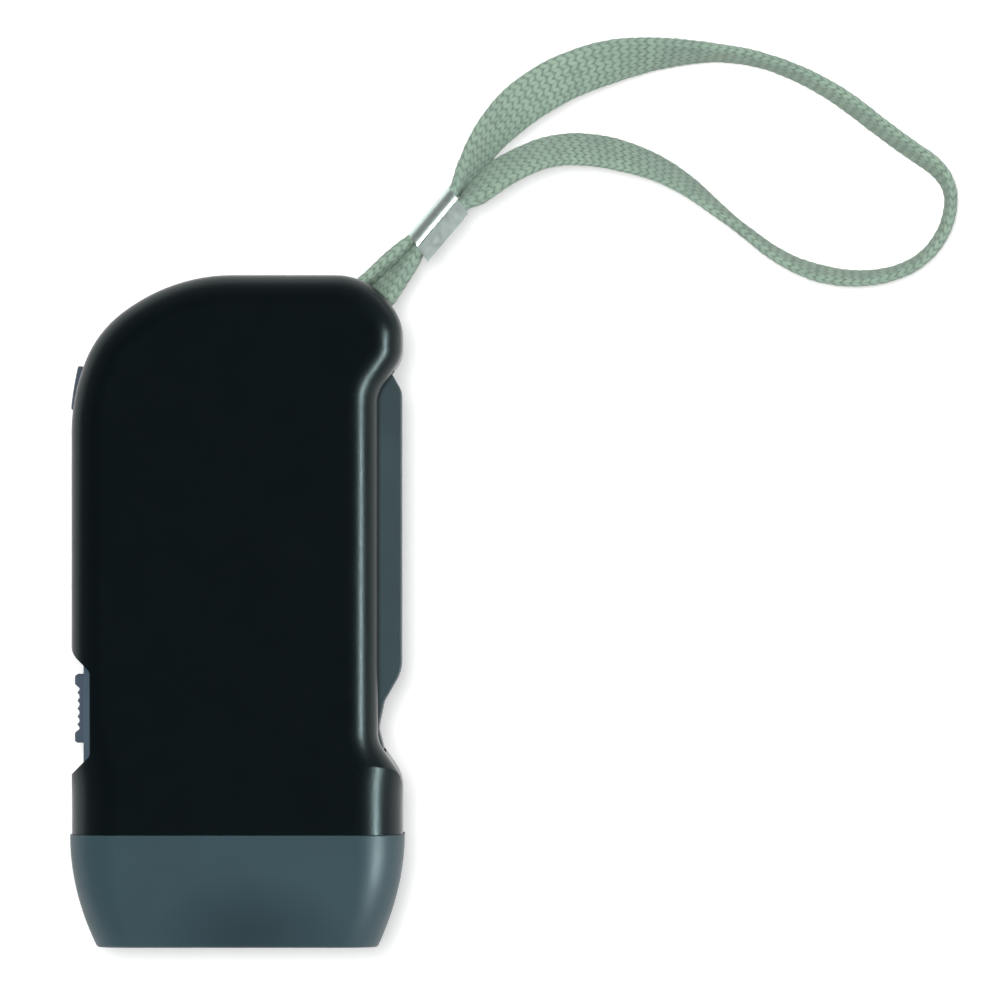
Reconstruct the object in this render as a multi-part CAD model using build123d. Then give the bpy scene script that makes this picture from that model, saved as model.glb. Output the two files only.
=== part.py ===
"""Hand-press dynamo torch with a squeeze lever, a slide lock, a power slide and a braided wrist strap.

The torch lies on its side: X runs across the body, Y from the lens to the tail, and Z up from the
broad face that it rests on. The lever is shown pressed home, with the lock's nose clear of its hook.
"""
from build123d import *
from math import acos, cos, degrees, pi, radians, sin, tan
import os

os.makedirs("parts", exist_ok=True)

# ---------------------------------------------------------------- driving dimensions, in mm
body_length = 105.0
body_width = 52.2
body_depth = 36.0
wall = 2.0
bezel_length = 17.6
shell_step = 0.3            # the two shells stand back from the bezel's sides by this much
face_round = 4.6            # rounding of the broad faces beside the lever
head_round = 7.2            # rounding of the broad faces at the head and the tail
running_gap = 0.3           # between pieces that slide or swing past each other
shaft_clearance = 0.05      # radial, shaft in bore
seat_gap = 0.1              # between a piece and the pocket that it is put into

lever_recess = 3.8          # how far the shells draw in beside the lever
lever_height = 18.8         # the lever's width across the torch
lever_wall = 1.8
flange_thickness = 1.5
hook_thickness = 1.5        # the lever's hook, which the lock's nose stands behind
nose_width = 2.1
lever_pin_radius = 1.25
knuckle_radius = 3.0
knuckle_height = 5.0

sector_module = 0.8
sector_full_teeth = 100
sector_teeth = 8
sector_thickness = 2.0
wheel_module = 0.5
pinion_teeth = 12
first_wheel_teeth = 42
second_wheel_teeth = 30
wheel_thickness = 2.0
pressure_angle = 25.0
backlash = 0.08
first_axle_bearing = 109.0  # degrees from +X, seen from the lever pin
second_axle_bearing = 172.0  # seen from the first axle
rotor_bearing = 262.0       # seen from the second axle
axle_radius = 1.0
rotor_shaft_radius = 0.75
plate_thickness = 1.5
plate_margin = 2.6
spacer_radius = 1.8
gear_screw_radius = 0.9

magnet_radius = 6.4
magnet_height = 6.0
air_gap = 0.6
pole_thickness = 0.8
pole_count = 6
stator_height = 8.0
winding_depth = 2.0

knob_length = 13.1
knob_height = 10.0
knob_thickness = 1.4
lock_travel = 2.5
power_travel = 2.5
power_knob_length = 10.8
lock_bar_thickness = 2.5

lens_half_width = body_width / 2 - 5.5
lens_half_height = body_depth / 2 - 5.8
lens_flange = 1.4
lip = 1.4                   # the bezel's inward lip, which holds the lens
led_spacing = 20.0
led_radius = 2.5
cup_radius = 9.4
cup_depth = 11.0
board_thickness = 1.6

coin_cell_radius = 10.0
coin_cell_height = 3.2
screw_head_radius = 1.95
screw_radius = 0.95
screw_head_height = 1.4
screw_well_depth = 9.0
boss_radius = 2.5

strap_width = 7.0
strap_thickness = 1.8
clip_length = 9.9
clip_width = 5.0
clip_wall = 0.6

# ---------------------------------------------------------------- places that follow from them
nose_y = -body_length / 2
tail_y = body_length / 2
seam_y = nose_y + bezel_length
mid_z = body_depth / 2
right = body_width / 2 - shell_step
left = -right
recess_x = body_width / 2 - lever_recess - shell_step
pivot = (recess_x - 5.0, seam_y + 15.9)
lever_tail_y = tail_y - 15.1
lever_low = mid_z - lever_height / 2
lever_top = mid_z + lever_height / 2
slot_low = lever_low - running_gap
slot_top = lever_top + running_gap


def polar(centre, radius, bearing):
    """Point at a distance and a bearing in degrees from a centre."""
    return (centre[0] + radius * cos(radians(bearing)), centre[1] + radius * sin(radians(bearing)))


sector_radius = sector_module * sector_full_teeth / 2
first_pinion_radius = sector_module * pinion_teeth / 2
small_pinion_radius = wheel_module * pinion_teeth / 2
first_wheel_radius = wheel_module * first_wheel_teeth / 2
second_wheel_radius = wheel_module * second_wheel_teeth / 2
first_axle = polar(pivot, sector_radius + first_pinion_radius, first_axle_bearing)
second_axle = polar(first_axle, first_wheel_radius + small_pinion_radius, second_axle_bearing)
rotor_axle = polar(second_axle, second_wheel_radius + small_pinion_radius, rotor_bearing)

# Heights of the gear train, one on the other from the lever's lower flange.
sector_z = lever_low + flange_thickness
first_wheel_z = sector_z + sector_thickness + 0.5
second_wheel_z = first_wheel_z + wheel_thickness + 0.3
upper_plate_z = second_wheel_z + wheel_thickness + 1.0
lower_plate_z = lever_low - 0.6 - plate_thickness
hub_low = lower_plate_z + plate_thickness + 0.2
hub_top = upper_plate_z - 0.2
stator_z = upper_plate_z + plate_thickness
stator_radius = magnet_radius + air_gap + pole_thickness + winding_depth + 1.2

parts = {}


def turned_outline(corners):
    """Face inside a closed outline of corners (x, y, radius), each turned by an arc of its radius."""
    turns = []
    for place, (x, y, radius) in enumerate(corners):
        corner = Vector(x, y)
        back = (Vector(*corners[place - 1][:2]) - corner).normalized()
        ahead = (Vector(*corners[(place + 1) % len(corners)][:2]) - corner).normalized()
        half = radians(back.get_angle(ahead)) / 2
        reach = radius / tan(half)
        middle = corner + (back + ahead).normalized() * (radius / sin(half) - radius)
        turns.append((corner + back * reach, middle, corner + ahead * reach, radius))
    edges = []
    for place, (start, middle, stop, radius) in enumerate(turns):
        if radius:
            edges.append(ThreePointArc(start, middle, stop))
        edges.append(Line(stop, turns[(place + 1) % len(turns)][0]))
    return make_face(edges)


def block(x0, x1, y0, y1, z0, z1):
    """Box between two corners."""
    size = Box(x1 - x0, y1 - y0, z1 - z0)
    return Pos((x0 + x1) / 2, (y0 + y1) / 2, (z0 + z1) / 2) * size


def post(centre, radius, z0, z1):
    """Upright cylinder between two heights."""
    return Pos(centre[0], centre[1], (z0 + z1) / 2) * Cylinder(radius, z1 - z0)


def tube(centre, outer, inner, z0, z1):
    """Upright tube between two heights."""
    return post(centre, outer, z0, z1) - post(centre, inner, z0 - 1, z1 + 1)


def prism(face, z0, z1):
    """Plan outline raised between two heights."""
    return Pos(0, 0, z0) * extrude(face, amount=z1 - z0, dir=(0, 0, 1))


# ---------------------------------------------------------------- the two body shells
def grip_outline():
    """Body in plan: a long left shoulder, a tighter tail corner and a recess beside the lever."""
    return turned_outline([
        (left, seam_y - 20, 0),
        (left, tail_y - 18.9, 30),
        (left + 4.2, tail_y - 8.3, 18),
        (left + 16.6, tail_y, 28),
        (right - 5.3, tail_y, 10.5),
        (right, tail_y - 6.9, 7.6),
        (right, tail_y - 12.9, 5.2),
        (recess_x, tail_y - 18.4, 5),
        (recess_x, seam_y + 14.6, 5),
        (right, seam_y + 9.1, 6),
        (right, seam_y - 20, 0),
    ])


def head_outline():
    """The head's sides, which flare away behind it so that only the head is rounded this far."""
    flare = head_round - face_round + 1
    return turned_outline([
        (left, seam_y - 20, 0),
        (left, seam_y + 8, 30),
        (left - flare, seam_y + 28, 20),
        (left - flare, tail_y + 10, 0),
        (right + flare, tail_y + 10, 0),
        (right + flare, seam_y + 28, 20),
        (right, seam_y + 8, 30),
        (right, seam_y - 20, 0),
    ])


def rounded_slab(outline, inset, rounding):
    """Outline drawn in by inset and raised over the depth, its two broad faces rounded off."""
    face = offset(outline, amount=-inset) if inset else outline
    slab = prism(face, inset, body_depth - inset)
    level = slab.faces().sort_by(Axis.Z)
    rims = level[0].edges() + level[-1].edges()
    return fillet(rims, rounding - inset)


def body_form(inset):
    """Whole body behind the bezel, drawn in by inset all round."""
    form = rounded_slab(grip_outline(), inset, face_round)
    form = form & rounded_slab(head_outline(), inset, head_round)
    return form & block(-body_width, body_width, seam_y, tail_y + 5, -1, body_depth + 1)


notch_depth = right - 22.9 + shell_step
notch_x = left + 2.9
inlay_x = notch_x - 1.0
notch_low = seam_y + 12.4
notch_high = seam_y + 25.5


def notch_cutter():
    """Thumb notch of the power slide: a flat floor between two sloping ends."""
    return prism(turned_outline([
        (left - 8, notch_low - 10.9, 0),
        (notch_x, notch_low, 1.2),
        (notch_x, notch_high, 1.2),
        (left - 0.02, notch_high + 2.92, 3),
        (left - 0.02, notch_high + 7, 0),
        (left - 8, notch_high + 7, 0),
    ]), -1, body_depth + 1)


# Screws and posts that join the two shells: the tail post also carries the strap.
strap_bearing = 50.0
strap_post = (right - 6.95, tail_y - 6.7)
screw_places = [
    (left + 5.2, seam_y + 6.3),
    (right - 4.9, seam_y + 5.9),
    (left + 11.4, tail_y - 10.4),
    strap_post,
]
spacer_places = [
    (second_axle[0] - 8.8, second_axle[1] + 6.5),
    (rotor_axle[0] - 8.3, rotor_axle[1] - 12.1),
    (first_axle[0] + 2.8, first_axle[1] + 12.9),
]
cell_place = (left + 20.0, seam_y + 18.9)
lock_y = tail_y - 20.75
lock_recess_low = lock_y - knob_length / 2 - lock_travel - running_gap
lock_recess_high = lock_y + knob_length / 2 + running_gap
power_y = (notch_low + notch_high) / 2 + 0.7
shank_height = 4.0
shank_length = 3.6
wall_step = notch_x + wall


def make_shells():
    """The two housing halves, cut along the middle of the body's depth."""
    skin = body_form(0) - notch_cutter()
    hollow = body_form(wall) - block(
        left, wall_step, notch_low - 2.5, notch_high + 2.5, 0, body_depth
    )
    shell = skin - hollow
    # lever slot, and the round pocket that its knuckle end turns in
    shell -= block(recess_x - 2 * wall, right + 5, pivot[1], lever_tail_y + running_gap, slot_low, slot_top)
    shell -= post(pivot, neck_reach + running_gap, slot_low, slot_top)
    # lock knob's recess and both sliders' slots
    shell -= block(left - 2, left + knob_thickness, lock_recess_low, lock_recess_high,
                   mid_z - knob_height / 2 - running_gap, mid_z + knob_height / 2 + running_gap)
    shell -= block(left - 2, left + 2 * wall, lock_y - shank_length / 2 - lock_travel - running_gap,
                   lock_y + shank_length / 2 + running_gap,
                   lock_z - running_gap, lock_z + lock_bar_thickness + running_gap)
    shell -= block(left - 2, wall_step + 1, power_y - shank_length / 2 - power_travel - running_gap,
                   power_y + shank_length / 2 + running_gap,
                   mid_z - shank_height / 2 - running_gap, mid_z + shank_height / 2 + running_gap)
    # strap hole through the tail corner
    hole = Box(16, 2 * (strap_post_radius + strap_thickness) - 0.8, strap_width + 2 * running_gap)
    shell -= Pos(*polar(strap_post, 8, strap_bearing), mid_z) * Rot(0, 0, strap_bearing) * hole
    low = shell & block(-body_width, body_width, nose_y, tail_y + 5, -1, mid_z)
    top = shell - block(-body_width, body_width, nose_y, tail_y + 5, -1, mid_z)
    for place in screw_places:
        radius = boss_radius if place != strap_post else strap_post_radius
        low += post(place, radius, wall / 2, mid_z) & skin
        top += post(place, radius, mid_z, body_depth - wall / 2) & skin
        low -= post(place, screw_head_radius + seat_gap, -1, screw_well_depth)
        low -= post(place, screw_radius + 0.15, screw_well_depth - 1, mid_z + 1)
        top -= post(place, screw_radius, mid_z - 1, mid_z + 8)
    for low_side, high_side in ((wall / 2, slot_low - 0.3), (slot_top + 0.3, body_depth - wall / 2)):
        boss = post(pivot, 3.0, low_side, high_side)
        if low_side < mid_z:
            low = low + boss
        else:
            top = top + boss
    for place in spacer_places:
        boss = post(place, spacer_radius + 0.7, wall / 2, lower_plate_z)
        low += boss
    for place in spacer_places:
        low -= post(place, gear_screw_radius, wall + 0.5, lower_plate_z + 1)
    pin_room = post(pivot, lever_pin_radius, wall, body_depth - wall)
    parts["shell_bottom"] = low - pin_room
    parts["shell_top"] = top - pin_room


strap_post_radius = 2.2
neck_reach = 6.6
lock_z = stator_z + 1.8


# ---------------------------------------------------------------- bezel, lens and lamps
def bezel_section(y, inset):
    """Rounded rectangle across the bezel; its sides draw in towards the lens on a long arc."""
    draw_in = (seam_y - y) ** 2 / 74.0 + inset
    corner = head_round - (seam_y - y) * 0.08 - inset
    width = body_width - 2 * draw_in
    height = body_depth - 2 * draw_in
    plane = Plane(origin=(0, y, mid_z), x_dir=(1, 0, 0), z_dir=(0, -1, 0))
    return plane * RectangleRounded(width, height, corner)


def framed(half_width, half_height, corner, y0, y1):
    """Rounded rectangular bar from y0 forward to y1, square to Y."""
    plane = Plane(origin=(0, y0, mid_z), x_dir=(1, 0, 0), z_dir=(0, -1, 0))
    return extrude(plane * RectangleRounded(2 * half_width, 2 * half_height, corner), y0 - y1)


def make_bezel():
    """Lamp bezel: a tapering cup with a lip in front and a skirt that fits inside the shells."""
    steps = [seam_y - bezel_length * share for share in (0, 0.25, 0.5, 0.75, 1)]
    outside = loft([bezel_section(y, 0) for y in steps])
    front = outside.faces().sort_by(Axis.Y)[0]
    outside = fillet(front.edges(), 0.7)
    room_steps = [seam_y - (bezel_length - lip) * share for share in (0, 0.25, 0.5, 0.75, 1)]
    inside = loft([bezel_section(y, wall) for y in room_steps])
    bezel = outside - inside
    bezel -= framed(lens_half_width - lip, lens_half_height - lip, 4.0, nose_y + 5, nose_y - 1)
    skirt_room = body_form(wall + seat_gap) - body_form(wall + seat_gap + 1.1)
    skirt = skirt_room & block(-body_width, body_width, seam_y, seam_y + 2.8, 0, body_depth)
    root = bezel_section(seam_y, 1.0)
    ring = extrude(root, amount=1.6, dir=(0, -1, 0))
    ring -= framed(right - wall - seat_gap - 1.1, mid_z - wall - seat_gap - 1.1,
                   head_round - wall - 1.2, seam_y + 1, seam_y - 2)
    parts["bezel"] = bezel + ring + skirt


def make_lamps():
    """Lens, its gasket, the two-cup reflector, the LEDs and their board, one behind the other."""
    lens_back = nose_y + lip + lens_flange
    lens = framed(lens_half_width - 0.3, lens_half_height - 0.3, 5.0, lens_back, nose_y + lip)
    lens += framed(lens_half_width - lip - seat_gap, lens_half_height - lip - seat_gap, 3.9,
                   nose_y + lip, nose_y + 0.4)
    parts["lens"] = lens
    gasket_back = lens_back + 0.8
    gasket = framed(lens_half_width - 0.3, lens_half_height - 0.3, 5.0, gasket_back, lens_back)
    gasket -= framed(lens_half_width - 1.6, lens_half_height - 1.6, 4.0, gasket_back + 1, lens_back - 1)
    parts["lens_gasket"] = gasket
    plate_back = gasket_back + 1.2
    reflector = framed(lens_half_width - 0.4, lens_half_height - 0.4, 5.0, plate_back, gasket_back)
    cup_back = gasket_back + cup_depth
    board_front = cup_back + 1.2
    lamps = []
    for side in (-1, 1):
        centre_x = side * led_spacing / 2
        cup_line = [(cup_radius, 0), (cup_radius * 0.9, -cup_depth * 0.3),
                    (cup_radius * 0.7, -cup_depth * 0.62), (led_radius + 0.3, -cup_depth)]
        curve = Spline([(x, z) for x, z in cup_line])
        room = make_face([curve, Line(cup_line[-1], (0, -cup_depth)), Line((0, -cup_depth), (0, 0)),
                          Line((0, 0), cup_line[0])])
        shell_curve = Spline([(x + 1.0, z) for x, z in cup_line])
        shell = make_face([shell_curve, Line((cup_line[-1][0] + 1.0, -cup_depth), (0, -cup_depth)),
                           Line((0, -cup_depth), (0, 0)), Line((0, 0), (cup_radius + 1.0, 0))])
        turn = Plane(origin=(centre_x, gasket_back, mid_z), x_dir=(1, 0, 0), z_dir=(0, -1, 0))
        cup_room = turn * revolve(Plane.XZ * room, Axis.Z)
        cup_shell = turn * revolve(Plane.XZ * shell, Axis.Z)
        reflector = reflector + cup_shell
        lamps.append((cup_room, centre_x))
    for cup_room, centre_x in lamps:
        reflector = reflector - cup_room
    for side in (-1, 1):
        reflector += framed_post(side * (lens_half_width - 2.2), 1.4, board_front, plate_back - 0.5)
    parts["reflector"] = reflector
    leds = []
    for side in (-1, 1):
        centre_x = side * led_spacing / 2
        lamp = framed_post(centre_x, led_radius, board_front, board_front - 5.0)
        lamp += Pos(centre_x, board_front - 5.0, mid_z) * Sphere(led_radius)
        lamp += framed_post(centre_x, led_radius + 0.4, board_front, board_front - 0.9)
        leds.append(lamp)
    parts["leds"] = Compound(children=leds)
    board = framed(lens_half_width - 1.2, lens_half_height - 1.0, 1.5, board_front + board_thickness,
                   board_front)
    parts["led_board"] = board
    chips = []
    for x in (-13.0, -5.0, 3.0):
        chips.append(block(x, x + 3.2, board_front + board_thickness, board_front + board_thickness + 0.7,
                           mid_z - 6.0, mid_z - 4.4))
    parts["resistors"] = Compound(children=chips)
    return board_front


def framed_post(x, radius, y0, y1):
    """Round post along Y at half depth, from y0 forward to y1."""
    plane = Plane(origin=(x, y0, mid_z), x_dir=(1, 0, 0), z_dir=(0, -1, 0))
    return extrude(plane * Circle(radius), y0 - y1)


# ---------------------------------------------------------------- gears
def tooth_edges(radius, module, bearing, inward):
    """One involute tooth at a bearing: root, flank arc, tip, flank arc. inward widens the gap."""
    base = radius * cos(radians(pressure_angle))
    tip = radius + 0.8 * module
    root = radius - 1.05 * module
    half = (pi * module / 2 - inward) / 2 / radius

    def involute(angle):
        return tan(angle) - angle

    def spread(at):
        turn = acos(min(1.0, base / at))
        return degrees(half + involute(radians(pressure_angle)) - involute(turn))

    start = max(base, root)
    middle = (start + tip) / 2
    rise = [polar((0, 0), at, bearing - spread(at)) for at in (start, middle, tip)]
    fall = [polar((0, 0), at, bearing + spread(at)) for at in (tip, middle, start)]
    foot = polar((0, 0), root, bearing - spread(start))
    heel = polar((0, 0), root, bearing + spread(start))
    edges = [ThreePointArc(*rise), Line(rise[-1], fall[0]), ThreePointArc(*fall)]
    if start > root:
        edges = [Line(foot, rise[0])] + edges + [Line(fall[-1], heel)]
    else:
        foot, heel = rise[0], fall[-1]
    return foot, edges, heel


def gear_face(teeth, module, first_tooth):
    """Full spur gear with a tooth centred on the bearing first_tooth."""
    radius = teeth * module / 2
    pitch = 360 / teeth
    cuts = [tooth_edges(radius, module, first_tooth + pitch * n, backlash / 2) for n in range(teeth)]
    edges = []
    for place, (foot, tooth, heel) in enumerate(cuts):
        edges += tooth
        edges.append(Line(heel, cuts[(place + 1) % teeth][0]))
    return make_face(edges)


def double_gear(centre, wheel_teeth, wheel_bearing, wheel_z, pinion_module, pinion_bearing, pinion_z):
    """Wheel and pinion moulded as one on a sleeve that turns on its axle."""
    wheel = prism(gear_face(wheel_teeth, wheel_module, wheel_bearing), wheel_z, wheel_z + wheel_thickness)
    radius = wheel_teeth * wheel_module / 2
    dish = tube((0, 0), radius - 2.6, 3.6, wheel_z + wheel_thickness - 0.6, wheel_z + wheel_thickness + 1)
    low, high = pinion_z
    pinion = prism(gear_face(pinion_teeth, pinion_module, pinion_bearing), low, high)
    sleeve = post((0, 0), 2.0, hub_low, hub_top)
    gear = (wheel - dish) + pinion + sleeve - post((0, 0), axle_radius + shaft_clearance, 0, body_depth)
    return Pos(centre[0], centre[1], 0) * gear


def make_gears():
    """Sector, two double gears and the rotor's pinion, all in mesh with the lever home."""
    pinion_pitch = 360 / pinion_teeth
    parts["first_gear"] = double_gear(
        first_axle, first_wheel_teeth, second_axle_bearing, first_wheel_z,
        sector_module, first_axle_bearing + 180 + pinion_pitch / 2, (sector_z - 0.8, first_wheel_z))
    parts["second_gear"] = double_gear(
        second_axle, second_wheel_teeth, rotor_bearing, second_wheel_z,
        wheel_module, second_axle_bearing + 180 + pinion_pitch / 2,
        (first_wheel_z - 0.2, second_wheel_z))
    pinion = prism(gear_face(pinion_teeth, wheel_module, rotor_bearing + 180 + pinion_pitch / 2),
                   second_wheel_z - 0.2, second_wheel_z + wheel_thickness + 0.2)
    pinion -= post((0, 0), rotor_shaft_radius, 0, body_depth)
    parts["rotor_pinion"] = Pos(rotor_axle[0], rotor_axle[1], 0) * pinion


sector_eye = knuckle_radius + 1.3
hook_x = recess_x - 6.5
nose_x = hook_x + hook_thickness + running_gap
sector_screws = [(pivot[0] + 0.4, pivot[1] + 13.5), (pivot[0] + 0.2, pivot[1] + 8.0)]


def make_sector():
    """Toothed sector: a hub on the lever's knuckle, a pierced web and eight teeth on a 40 mm arc."""
    pitch = 360 / sector_full_teeth
    first = first_axle_bearing - pitch
    root = sector_radius - 1.05 * sector_module
    cuts = [tooth_edges(sector_radius, sector_module, first + pitch * n, backlash / 2)
            for n in range(sector_teeth)]
    low, high = first - pitch, first + pitch * sector_teeth
    inner = sector_radius - 6.0
    edges = [Line(polar((0, 0), inner, low), polar((0, 0), root, low)),
             Line(polar((0, 0), root, low), cuts[0][0])]
    for place, (foot, tooth, heel) in enumerate(cuts):
        edges += tooth
        if place + 1 < sector_teeth:
            edges.append(Line(heel, cuts[place + 1][0]))
    edges.append(Line(cuts[-1][2], polar((0, 0), root, high)))
    edges.append(Line(polar((0, 0), root, high), polar((0, 0), inner, high)))
    middle = (low + high) / 2
    edges.append(ThreePointArc(polar((0, 0), inner, high), polar((0, 0), inner, middle),
                               polar((0, 0), inner, low)))
    rim = make_face(edges)
    eye = sector_eye
    web = make_face(Polyline(polar((0, 0), eye, high + 45), polar((0, 0), inner + 2, high - 0.5),
                             polar((0, 0), inner + 2, low + 0.5), polar((0, 0), eye, low - 40), close=True))
    window = turned_outline([(*polar((0, 0), eye + 4.5, middle), 1.5),
                             (*polar((0, 0), inner - 1.5, high - 6.5), 2.0),
                             (*polar((0, 0), inner - 1.5, low + 6.5), 2.0)])
    lugs = [Pos(x - pivot[0], y - pivot[1]) * Circle(2.2) for x, y in sector_screws]
    tongue = make_face(Polyline((-2.2, 0), (-2.0, sector_screws[0][1] - pivot[1]),
                                (2.6, sector_screws[0][1] - pivot[1]), (3.5, 0), close=True))
    plate = rim + (web - window) + Circle(eye) + tongue
    for lug in lugs:
        plate += lug
    plate -= Circle(knuckle_radius)
    sector = Pos(pivot[0], pivot[1], 0) * prism(plate, sector_z, sector_z + sector_thickness)
    screws = []
    for place in sector_screws:
        sector -= post(place, 0.7, 0, body_depth)
        screws.append(post(place, 0.7, sector_z - flange_thickness + 0.2, sector_z + sector_thickness)
                      + post(place, 1.4, sector_z + sector_thickness, sector_z + sector_thickness + 0.8))
    parts["sector_gear"] = sector
    parts["sector_screws"] = Compound(children=screws)


# ---------------------------------------------------------------- squeeze lever
def lever_plan():
    """Lever in plan: grip wall, rounded tail, finger scoop at the neck and a deep inner edge."""
    outer = right - 0.1
    return turned_outline([
        (pivot[0] - 4.6, pivot[1] + 1.0, 3.0),
        (pivot[0] - 1.5, pivot[1] - 6.0, 3.0),
        (pivot[0] + 6.0, pivot[1] - 2.8, 0.6),
        (pivot[0] + 5.1, pivot[1] + 0.6, 3.0),
        (pivot[0] + 6.0, pivot[1] + 4.9, 2.0),
        (outer, pivot[1] + 9.6, 6.0),
        (outer, lever_tail_y - 3.0, 3.2),
        (outer - 1.7, lever_tail_y, 1.0),
        (pivot[0] - 9.0, lever_tail_y - 0.9, 1.5),
    ])


def make_lever():
    """Squeeze lever: a channel of grip wall and two flanges on split knuckles, with a lock hook."""
    plan = lever_plan()
    grip = prism(plan, lever_low, lever_top)
    opening = make_face(Polyline(
        (pivot[0] - 12, pivot[1] - 3.5), (pivot[0], pivot[1] - 3.5),
        (pivot[0] + 4.0, lever_tail_y - 3), (pivot[0] - 12, lever_tail_y + 2), close=True))
    for room_plan in (offset(plan, amount=-lever_wall), opening):
        grip -= prism(room_plan, lever_low + flange_thickness, lever_top - flange_thickness)
    grip -= post(pivot, sector_eye, sector_z, sector_z + sector_thickness)
    for low, high in ((lever_low, lever_low + knuckle_height), (lever_top - knuckle_height, lever_top)):
        grip += post(pivot, knuckle_radius, low, high)
    arm_y = lever_tail_y - 4.2
    hook_z0, hook_z1 = lock_z - 0.6, lock_z + lock_bar_thickness + 0.6
    # pocket in the tail wall, which the lock's nose drops into beside the hook
    grip -= block(hook_x - 5, nose_x + nose_width + running_gap, arm_y, lever_tail_y + 1,
                  hook_z0, hook_z1)
    grip += block(hook_x, right - 1.2, arm_y, arm_y + 1.4, hook_z0, hook_z1)
    grip += block(hook_x, hook_x + hook_thickness, arm_y, lever_tail_y - 0.7, hook_z0, hook_z1)
    grip -= post(pivot, lever_pin_radius + shaft_clearance, 0, body_depth)
    for place in sector_screws:
        grip -= post(place, 0.7, sector_z - flange_thickness + 0.2, sector_z + 0.1)
    parts["squeeze_lever"] = grip
    parts["lever_pin"] = post(pivot, lever_pin_radius, wall, body_depth - wall)


def make_return_spring():
    """Torsion spring round the lever pin: a coil pack, one leg to the shell, one behind the grip."""
    wire = 0.45
    low = lever_low + knuckle_height + 0.4
    turns = 7
    high = low + 2 * wire * turns
    coil = tube(pivot, lever_pin_radius + 0.2 + 2 * wire, lever_pin_radius + 0.2, low, high)
    reach = lever_pin_radius + 0.2 + wire
    stop = (pivot[0] + reach, pivot[1] + 20.0)
    leg_z = high - wire
    leg = Pos(stop[0], (pivot[1] + stop[1]) / 2, leg_z) * Rot(90, 0, 0) * Cylinder(wire, stop[1] - pivot[1])
    foot = Pos(pivot[0] - 4.0, pivot[1] - reach, low + wire) * Rot(0, 90, 0) * Cylinder(wire, 8.0)
    parts["return_spring"] = coil + leg + foot


# ---------------------------------------------------------------- gearbox plates and dynamo
def hull_plate(places, margin, z):
    """Plate with the outline of a band stretched round its mounting places."""
    rings = [Pos(x, y) * Circle(margin) for x, y in places]
    outline = make_hull([ring.edge() for ring in rings])
    return prism(outline, z, z + plate_thickness)


def make_gearbox():
    """Two plates on three spacers, with the fixed axles, the bushes and the clamping screws."""
    places = spacer_places + [first_axle, second_axle, rotor_axle]
    for name, z in (("lower_gear_plate", lower_plate_z), ("upper_gear_plate", upper_plate_z)):
        plate = hull_plate(places, plate_margin, z)
        for place in spacer_places:
            plate -= post(place, gear_screw_radius, 0, body_depth)
        for place in (first_axle, second_axle):
            plate -= post(place, axle_radius, 0, body_depth)
        plate -= post(rotor_axle, 1.6, 0, body_depth)
        parts[name] = plate
    inner_low = lower_plate_z + plate_thickness
    spacers = [tube(place, spacer_radius, gear_screw_radius, inner_low, upper_plate_z)
               for place in spacer_places]
    parts["plate_spacers"] = Compound(children=spacers)
    top = upper_plate_z + plate_thickness
    screws = [post(place, gear_screw_radius, wall + 1.0, top) + post(place, 1.7, top, top + 1.1)
              for place in spacer_places]
    parts["gearbox_screws"] = Compound(children=screws)
    axles = [post(place, axle_radius, lower_plate_z, top) for place in (first_axle, second_axle)]
    parts["gear_axles"] = Compound(children=axles)
    bore = rotor_shaft_radius + shaft_clearance
    bushes = [tube(rotor_axle, 1.6, bore, lower_plate_z, inner_low),
              tube(rotor_axle, 1.6, bore, upper_plate_z, top)]
    parts["rotor_bushes"] = Compound(children=bushes)


def make_dynamo():
    """Claw-pole alternator: magnet on the rotor shaft inside two pole cups and a ring winding."""
    bore = magnet_radius + air_gap
    low, high = stator_z, stator_z + stator_height
    finger = pole_thickness
    yoke = tube(rotor_axle, stator_radius, stator_radius - pole_thickness, low + finger, high - finger)
    for name, disc_z, claw in (("lower_pole_cup", low, (low + finger, high - 2.0)),
                               ("upper_pole_cup", high - finger, (low + 2.0, high - finger))):
        cup = tube(rotor_axle, stator_radius, bore, disc_z, disc_z + finger)
        ring = tube(rotor_axle, bore + finger, bore, *claw)
        turn = 0 if disc_z == low else 180 / pole_count
        for n in range(pole_count):
            bearing = turn + 360 / pole_count * n
            wedge = make_face(Polyline(rotor_axle, polar(rotor_axle, 2 * bore, bearing - 12),
                                       polar(rotor_axle, 2 * bore, bearing + 12), close=True))
            cup += ring & prism(wedge, *claw)
        parts[name] = cup + yoke if disc_z == low else cup
    inner = bore + finger + 0.1
    bobbin = tube(rotor_axle, stator_radius - pole_thickness - 0.1, inner, low + finger, high - finger)
    bobbin -= tube(rotor_axle, stator_radius, inner + 0.6, low + finger + 0.6, high - finger - 0.6)
    parts["winding_bobbin"] = bobbin
    parts["stator_winding"] = tube(rotor_axle, stator_radius - pole_thickness - 0.4, inner + 0.6,
                                   low + finger + 0.6, high - finger - 0.6)
    shaft_top = high + 3.0
    parts["rotor_shaft"] = post(rotor_axle, rotor_shaft_radius, lower_plate_z - 1.0, shaft_top)
    magnet_z = low + (stator_height - magnet_height) / 2
    parts["rotor_magnet"] = tube(rotor_axle, magnet_radius, rotor_shaft_radius, magnet_z,
                                 magnet_z + magnet_height)
    wheel = tube(rotor_axle, stator_radius - 1.5, rotor_shaft_radius, high + 0.8, high + 2.4)
    wheel += tube(rotor_axle, 2.4, rotor_shaft_radius, magnet_z + magnet_height, high + 2.4)
    for n in range(5):
        wheel -= post(polar(rotor_axle, (stator_radius + 1.5) / 2, 72 * n), 1.9, high, high + 4)
    parts["rotor_wheel"] = wheel


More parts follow.
